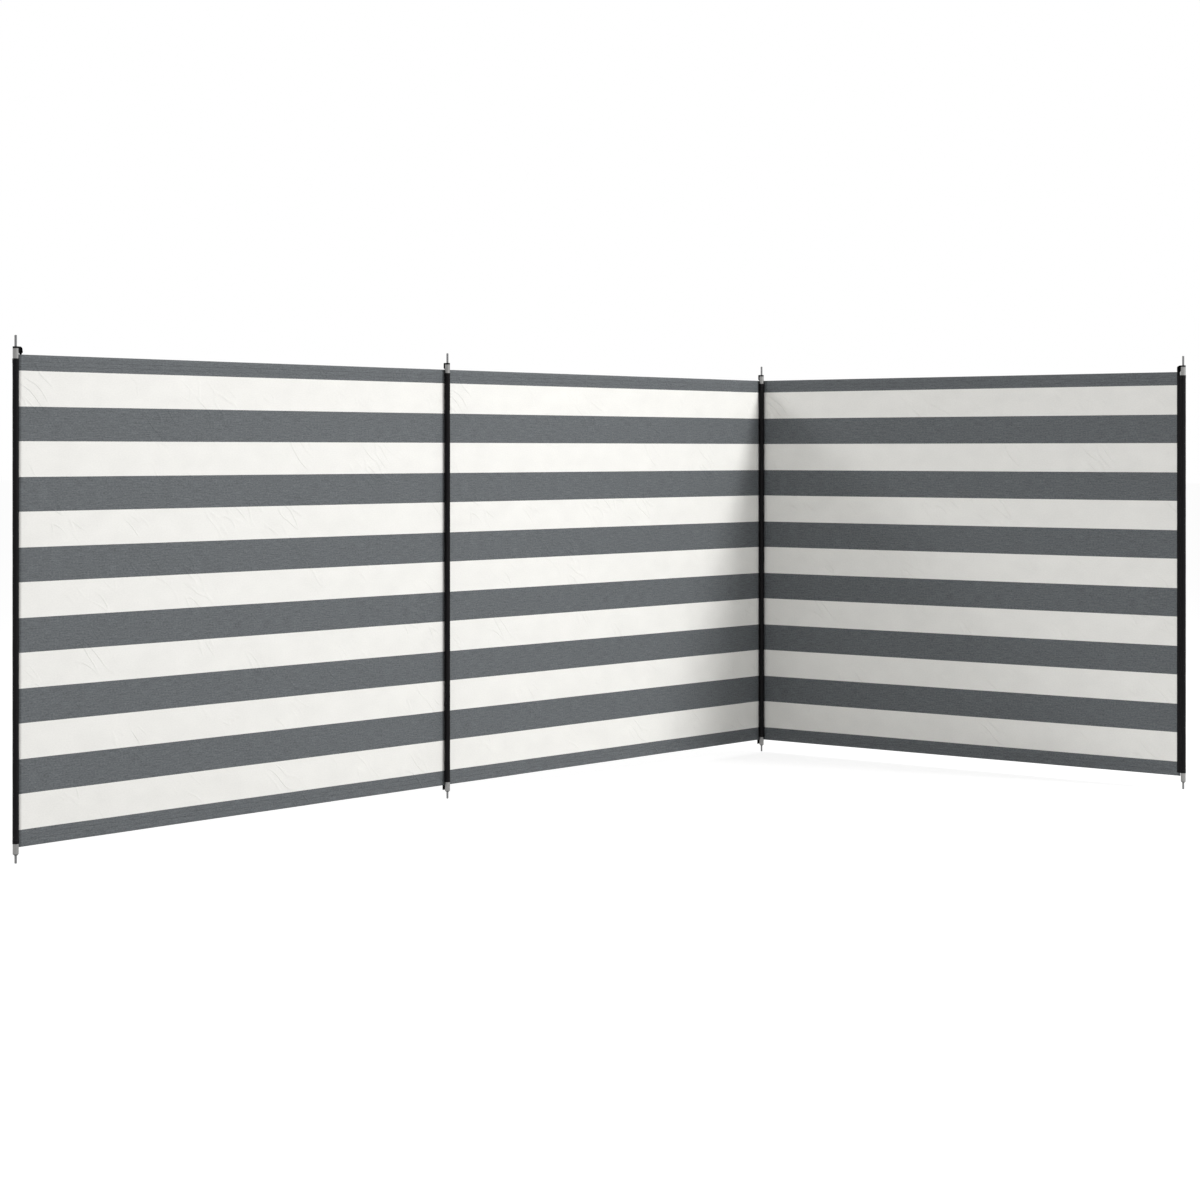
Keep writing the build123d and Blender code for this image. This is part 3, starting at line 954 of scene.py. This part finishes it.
def spindle(radius, length):
    """Points and faces of one stitch: a four-sided spindle with a ring near each tip."""
    sides = 4
    side = np.arange(sides)
    after = (side + 1) % sides
    angle = 2 * np.pi * side / sides
    ring = radius * vectors(0.0, np.cos(angle), np.sin(angle))
    tip = np.array([[length / 2, 0, 0]])
    points = np.vstack([-tip, ring - 0.6 * tip, ring + 0.6 * tip, tip])
    quads = 1 + vectors(side, after, sides + after, sides + side)
    first = vectors(0, 1 + after, 1 + side)
    last = 1 + vectors(2 * sides, sides + side, sides + after)
    return points, (quads, first, last)


def stitch_row(middle, direction, normal, *place):
    """Middles, directions, normals and weave places of a row of stitches, as rows of vectors."""
    return [np.broadcast_to(part, middle.shape) for part in (middle, direction, normal, vectors(*place))]


def sew(name, rows, trim, material, bay):
    """One piece of all the given rows of stitches, each a spindle laid along its direction."""
    middles, directions, normals, places = (np.vstack(part) for part in zip(*rows))
    model, groups = spindle(trim.stitch_radius, trim.stitch_pitch * STITCH_SHARE)
    axes = np.stack([directions, np.cross(normals, directions), normals], axis=1)
    points = middles[:, None] + model @ axes
    offset = (np.arange(len(middles)) * len(model))[:, None, None]
    faces = [(group + offset).reshape(-1, group.shape[1]) for group in groups]
    place = np.broadcast_to(places[:, None], points.shape)
    piece = new_object(name, points.reshape(-1, 3), faces, place.reshape(-1, 3))
    dress(piece, material, bay)


def even_steps(first, last, pitch):
    """Middles of stitches of about one pitch between two ends."""
    count = int((last - first) / pitch)
    return first + (np.arange(count) + 0.5) * (last - first) / count


def bay_stitch_rows(number, cloth, trim):
    """Rows of thread on one bay: two along each hem and one up each side, on front and back."""
    plan, left, right = bay_span(number)
    seams = [trim.end_seam if end in END_POLES else trim.seam_offset for end in (number, number + 1)]
    seams[1] = np.linalg.norm(pole_axis(number + 1) - plan.origin) - seams[1]
    level_run = even_steps(left + SEAM_END, right - SEAM_END, trim.stitch_pitch)
    upright_run = even_steps(SEAM_END, CLOTH_TALL - SEAM_END, trim.stitch_pitch)
    lines = [(level_run, seam, plan.along) for seam in hem_seams(cloth)]
    lines += [(seam, upright_run, plan.up) for seam in seams]
    rows = []
    for along, height, direction in lines:
        along, height = np.broadcast_arrays(along, height)
        face = bay_face(number, along, height, cloth)
        from_edge = np.minimum(height, CLOTH_TALL - height)
        layers = cloth.thickness + cloth.hem_layer * (from_edge < cloth.hem_fold)
        for depth, facing in ((0.0, -1.0), (layers, 1.0)):
            proud = facing * STITCH_PROUD * trim.stitch_radius
            middle = plan.point(along, face + depth + proud, height + CLOTH_BOTTOM)
            rows.append(stitch_row(middle, direction, facing * plan.behind, along, height, 0.0))
    return rows


def sleeve_stitch_rows(number, trim):
    """Rings of thread at the two hems of a sleeve, and the seams of an end sleeve's flange."""
    plan = pole_plan(number)
    open_side, count = (0.0, 14) if number in MIDDLE_POLES else (0.95, 10)
    turn = open_side + (np.arange(count) + 0.5) * (2 * np.pi - 2 * open_side) / count
    cosine, sine = np.cos(turn)[:, None], np.sin(turn)[:, None]
    radial = cosine * plan.along + sine * plan.behind
    tangent = cosine * plan.behind - sine * plan.along
    inset = trim.sleeve_hem - SEAM_END
    rows = []
    for level in (SLEEVE_BOTTOM + inset, SLEEVE_TOP - inset):
        middle = plan.origin + radial * (SLEEVE_RADIUS + THREAD_OFF_SLEEVE) + level * plan.up
        rows.append(stitch_row(middle, tangent, radial, turn, level, 0.0))
    if number in END_POLES:
        (_, flange_end), _ = plan.reach(f"pole_{number}_sleeve")
        height = even_steps(SLEEVE_BOTTOM + SEAM_END, SLEEVE_TOP - SEAM_END, trim.stitch_pitch)
        for along in (flange_end - EDGE_SEAM, trim.end_seam):
            for facing in (-1.0, 1.0):
                behind = FLANGE_MIDDLE + facing * (FLANGE_HALF + THREAD_OFF_FLANGE)
                middle = plan.point(along, behind, height)
                rows.append(stitch_row(middle, plan.up, facing * plan.behind, 0.0, height, 0.0))
    return rows


def tab_stitch_rows(number):
    """A sewn rectangle and its diagonals on the upper part of a tab."""
    plan = pole_plan(number)
    _, (_, far) = plan.reach(f"pole_{number}_tab")
    half, low, high = HALF_WEBBING - EDGE_SEAM, CLOTH_BOTTOM + SEAM_END, TAB_TOP - EDGE_SEAM
    corners = np.array([(-half, low), (half, low), (half, high), (-half, high)])
    rows = []
    for first, last in corners[[(0, 1), (1, 2), (2, 3), (3, 0), (0, 2), (3, 1)]]:
        span = np.linalg.norm(last - first)
        share = even_steps(0.0, span, TAB_STITCH_PITCH) / span
        along, height = (first + share[:, None] * (last - first)).T
        heading = (last - first) / span
        middle = plan.point(along, far - THREAD_IN_TAB, height)
        direction = heading[0] * plan.along + heading[1] * plan.up
        rows.append(stitch_row(middle, direction, plan.behind, along, height, 0.0))
    return rows


# Stage

def shown_apart(desk, output, lit, seen):
    """End in a mix of two shaders: one for the light that falls on things, one for what is seen.

    The second shows to rays from the camera, and to reflections and transmissions.
    """
    rays = desk.add("LightPath").node.outputs
    direct = desk.maths("MAXIMUM", rays["Is Camera Ray"], rays["Is Glossy Ray"])
    share = desk.maths("MAXIMUM", direct, rays["Is Transmission Ray"])
    desk.add(output, {"Surface": desk.add("MixShader", {0: share, 1: lit, 2: seen})})


def floor_material(stage):
    """Pale floor: plain to the lights, and near white to the eye with the shadows kept."""
    desk = Desk(bpy.data.materials.new("floor_pale"))
    plain = desk.add("BsdfDiffuse", {"Color": rgba(stage.floor_colour)})
    shadowed = desk.add("BsdfDiffuse", {"Color": rgba(stage.floor_colour, SHADOW_SHARE)})
    glow = desk.add("Emission", {"Color": WHITE, "Strength": FLOOR_GLOW})
    shown_apart(desk, "OutputMaterial", plain, desk.add("AddShader", {0: shadowed, 1: glow}))
    return desk.owner


def set_world(stage):
    """Even light all round, and white behind everything."""
    desk = Desk(bpy.data.worlds.new("studio"))
    light = desk.add("Background", {"Color": WHITE, "Strength": stage.sky_strength})
    paper = desk.add("Background", {"Color": WHITE, "Strength": 1.0})
    shown_apart(desk, "OutputWorld", light, paper)
    bpy.context.scene.world = desk.owner


def add_softbox(name, offset, aim, size, power):
    """A square area light that stands off from aim and faces it."""
    lamp = bpy.data.lights.new(name, "AREA")
    lamp.shape = "SQUARE"
    lamp.size = size
    lamp.energy = power
    softbox = bpy.data.objects.new(name, lamp)
    softbox.location = aim + np.array(offset)
    softbox.rotation_mode = "QUATERNION"
    softbox.rotation_quaternion = Vector(offset).to_track_quat("Z", "Y")
    softbox.visible_camera = False
    bpy.context.scene.collection.objects.link(softbox)


def set_camera(stage):
    """A level camera whose lens is shifted, as in the photograph."""
    lens = bpy.data.cameras.new("camera")
    lens.lens = stage.camera_lens
    lens.sensor_width = 36.0
    lens.shift_y = stage.camera_rise
    lens.clip_end = 2 * stage.floor_size
    camera = bpy.data.objects.new("camera", lens)
    heading = stage.camera_heading
    forward = Vector((np.cos(heading), np.sin(heading), 0.0))
    camera.rotation_mode = "QUATERNION"
    camera.rotation_quaternion = forward.to_track_quat("-Z", "Y")
    camera.location = stage.camera_place
    bpy.context.scene.collection.objects.link(camera)
    bpy.context.scene.camera = camera
    bpy.context.scene.view_settings.view_transform = "Standard"


# Operators

class WINDBREAK_OT_striped_cloth(bpy.types.Operator):
    """Make the three striped sheets and the two strips that carry them round the middle poles"""

    bl_idname = "windbreak.striped_cloth"
    bl_label = "Striped cloth"

    def execute(self, context):
        cloth = context.scene.windbreak_cloth
        material = striped_material("striped_cloth", cloth)
        for number in BAYS:
            make_bay_cloth(number, cloth, material)
        for number in MIDDLE_POLES:
            make_cloth_turn(number, cloth, material)
        return {"FINISHED"}


class WINDBREAK_OT_sleeves(bpy.types.Operator):
    """Make the four black pole sleeves"""

    bl_idname = "windbreak.sleeves"
    bl_label = "Sleeves"

    def execute(self, context):
        trim = context.scene.windbreak_trim
        material = sleeve_material(trim)
        for number in MIDDLE_POLES:
            make_middle_sleeve(number, trim, material)
        for number in END_POLES:
            make_end_sleeve(number, trim, material)
        return {"FINISHED"}


class WINDBREAK_OT_webbing(bpy.types.Operator):
    """Make the straps over the four poles and the tabs at the middle two"""

    bl_idname = "windbreak.webbing"
    bl_label = "Straps and tabs"

    def execute(self, context):
        trim = context.scene.windbreak_trim
        material = webbing_material(trim)
        for number in MIDDLE_POLES:
            make_middle_strap(number, trim, material)
            make_tab(number, trim, material)
        for number in END_POLES:
            make_end_strap(number, trim, material)
        return {"FINISHED"}


class WINDBREAK_OT_stitching(bpy.types.Operator):
    """Sew the hems, the seams beside the poles, the sleeves and the tabs"""

    bl_idname = "windbreak.stitching"
    bl_label = "Stitching"

    def execute(self, context):
        cloth = context.scene.windbreak_cloth
        trim = context.scene.windbreak_trim
        # Thread in the stripes' own colours, darkened to 0.62 as painted shade of the seam's groove and
        # the thread's shadow.
        matched_shaded = striped_material("thread_matched_painted_shade", cloth, darken=0.62)
        black = black_thread_material(trim)
        for bay in BAYS:
            rows = bay_stitch_rows(bay, cloth, trim)
            sew(f"bay_{bay}_stitches", rows, trim, matched_shaded, bay)
        for number in (*MIDDLE_POLES, *END_POLES):
            rows, bay = sleeve_stitch_rows(number, trim), BAY_OF_POLE[number]
            sew(f"pole_{number}_sleeve_stitches", rows, trim, black, bay)
        for number in MIDDLE_POLES:
            rows, bay = tab_stitch_rows(number), BAY_OF_POLE[number]
            sew(f"pole_{number}_tab_stitches", rows, trim, black, bay)
        return {"FINISHED"}


class WINDBREAK_OT_pole_finishes(bpy.types.Operator):
    """Finish the tubes, plugs and spikes of the poles, and add the upper plugs' lips"""

    bl_idname = "windbreak.pole_finishes"
    bl_label = "Pole finishes"

    def execute(self, context):
        poles = context.scene.windbreak_poles
        finishes = {
            "tube": tube_material(poles),
            "lower_plug": plug_material("plug_grey_plastic", poles.plug_plastic),
            "upper_plug": plug_material("cap_black_plastic", poles.cap_plastic),
            "lower_spike": spike_material(poles),
        }
        finishes["upper_spike"] = finishes["lower_spike"]
        for number in BAY_OF_POLE:
            make_cap_lip(number, poles, finishes["upper_plug"])
            for part, material in finishes.items():
                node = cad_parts[f"pole_{number}_{part}"]
                node.data.materials.clear()
                node.data.materials.append(material)
        return {"FINISHED"}


class WINDBREAK_OT_declare_cloth(bpy.types.Operator):
    """Gather the pieces sewn on each sheet and read each sheet's span, without using either"""

    bl_idname = "windbreak.declare_cloth"
    bl_label = "Cloth facts"

    def execute(self, context):
        sewn_on = {bay: [f"bay_{bay}_stitches"] for bay in BAYS}
        for number, bay in BAY_OF_POLE.items():
            parts = ["sleeve_cloth", "strap_webbing", "sleeve_stitches"]
            if number in MIDDLE_POLES:
                parts += ["cloth_turn", "tab_webbing", "tab_stitches"]
            sewn_on[bay] += [f"pole_{number}_{part}" for part in parts]
        for bay in BAYS:
            _, left, right = bay_span(bay)
        return {"FINISHED"}


class WINDBREAK_OT_stage(bpy.types.Operator):
    """Lay the pale floor and set the camera and the lights"""

    bl_idname = "windbreak.stage"
    bl_label = "Stage"

    def execute(self, context):
        stage = context.scene.windbreak_stage
        half = stage.floor_size / 2
        corners = np.array([[-half, -half, 0], [half, -half, 0], [half, half, 0], [-half, half, 0]])
        floor = new_object("floor", corners, [np.array([[0, 1, 2, 3]])], closed=False)
        floor.data.materials.append(floor_material(stage))
        set_world(stage)
        aim = (pole_axis(2) + pole_axis(3)) / 2 + np.array([0.0, 0.0, AIM_HEIGHT])
        add_softbox("key_from_right", KEY_OFFSET, aim, KEY_SIZE, stage.key_power)
        add_softbox("side_from_left", SIDE_OFFSET, aim, SIDE_SIZE, stage.side_power)
        set_camera(stage)
        return {"FINISHED"}


class WINDBREAK_PT_build(bpy.types.Panel):
    """Lists the steps that build the windbreak"""

    bl_label = "Beach windbreak"
    bl_idname = "WINDBREAK_PT_build"
    bl_space_type = "VIEW_3D"
    bl_region_type = "UI"
    bl_category = "Windbreak"

    def draw(self, context):
        for step in STEPS:
            self.layout.operator(step.bl_idname)
        for group in SETTINGS:
            settings = getattr(context.scene, group)
            box = self.layout.box()
            for name in settings.bl_rna.properties.keys():
                if name not in {"rna_type", "name"}:
                    box.prop(settings, name)


STEPS = (
    WINDBREAK_OT_striped_cloth,
    WINDBREAK_OT_sleeves,
    WINDBREAK_OT_webbing,
    WINDBREAK_OT_stitching,
    WINDBREAK_OT_pole_finishes,
    WINDBREAK_OT_declare_cloth,
    WINDBREAK_OT_stage,
)
SETTINGS = {
    "windbreak_cloth": WindbreakCloth,
    "windbreak_trim": WindbreakTrim,
    "windbreak_poles": WindbreakPoles,
    "windbreak_stage": WindbreakStage,
}


def register():
    """Register the settings, the steps and the panel."""
    for name, group in SETTINGS.items():
        bpy.utils.register_class(group)
        setattr(bpy.types.Scene, name, bpy.props.PointerProperty(type=group))
    for item in (*STEPS, WINDBREAK_PT_build):
        bpy.utils.register_class(item)


def unregister():
    """Remove what register added."""
    for item in (WINDBREAK_PT_build, *reversed(STEPS)):
        bpy.utils.unregister_class(item)
    for name, group in SETTINGS.items():
        delattr(bpy.types.Scene, name)
        bpy.utils.unregister_class(group)


def main():
    """Build everything in order."""
    register()
    bpy.ops.windbreak.striped_cloth()
    bpy.ops.windbreak.sleeves()
    bpy.ops.windbreak.webbing()
    bpy.ops.windbreak.stitching()
    bpy.ops.windbreak.pole_finishes()
    bpy.ops.windbreak.declare_cloth()
    bpy.ops.windbreak.stage()


if __name__ == "__main__":
    main()
